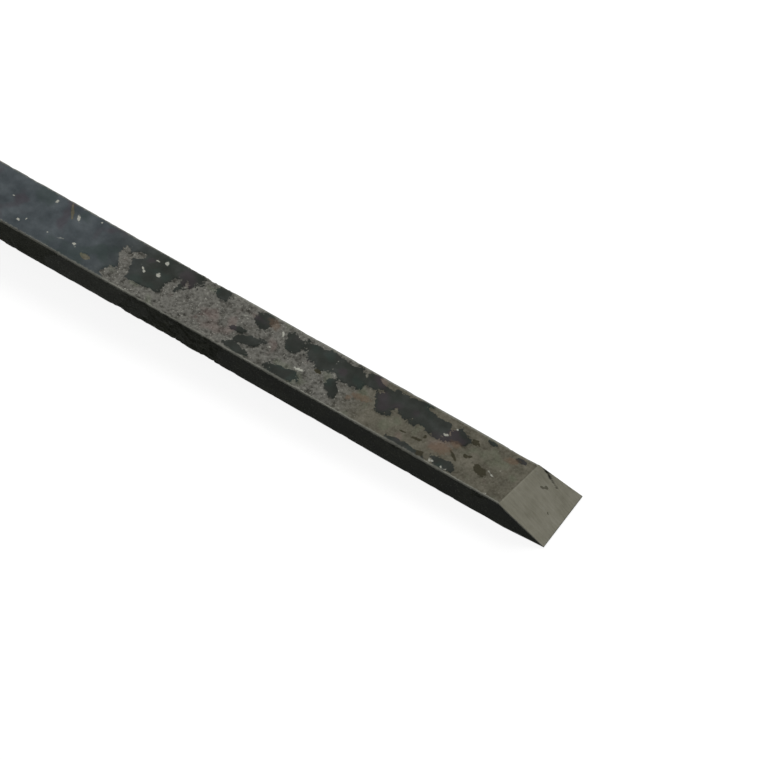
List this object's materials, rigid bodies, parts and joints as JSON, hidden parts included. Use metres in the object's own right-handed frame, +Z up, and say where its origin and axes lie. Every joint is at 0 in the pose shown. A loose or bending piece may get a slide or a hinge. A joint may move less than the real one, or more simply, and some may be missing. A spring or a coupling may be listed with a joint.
{
  "type": "grafting chisel",
  "caption": "Hand-forged grafting chisel: a black rectangular bar with one flat bevel, riveted through a turned wooden grip with leather washers, ferrule, hoop and strike plate.",
  "frame": {"origin": "middle of the tool's footprint, on the bench that it lies on", "axes": "+X along the tool towards the cutting edge, +Y to the side that the edge spreads to, +Z up from the bench; the tool lies on its cutting edge and the belly of its grip, so its own axis is tilted by 2.55 degrees about Y, butt end up"},
  "size_m": [0.3456, 0.0344, 0.0356],
  "materials": {
    "forged_steel": "black forge scale, flaked to bare brown-grey steel, ground bevel",
    "blackened_steel": "forge-blackened, worn along the edges",
    "worn_steel": "hammered bright in the middle, dark at the rim",
    "bright_steel": "filed flush",
    "ash_wood": "oiled ash, worn by the hand",
    "oiled_leather": "oiled harness leather, dark cut edge"
  },
  "bodies": {
    "root": {"blade": "forged_steel", "bolster_collar": "blackened_steel", "bolster_leather": "oiled_leather", "front_ferrule": "blackened_steel", "ferrule_pins": "bright_steel", "handle": "ash_wood", "striking_hoop": "blackened_steel", "butt_leather": "oiled_leather", "strike_plate": "worn_steel"}
  },
  "joints": []
}
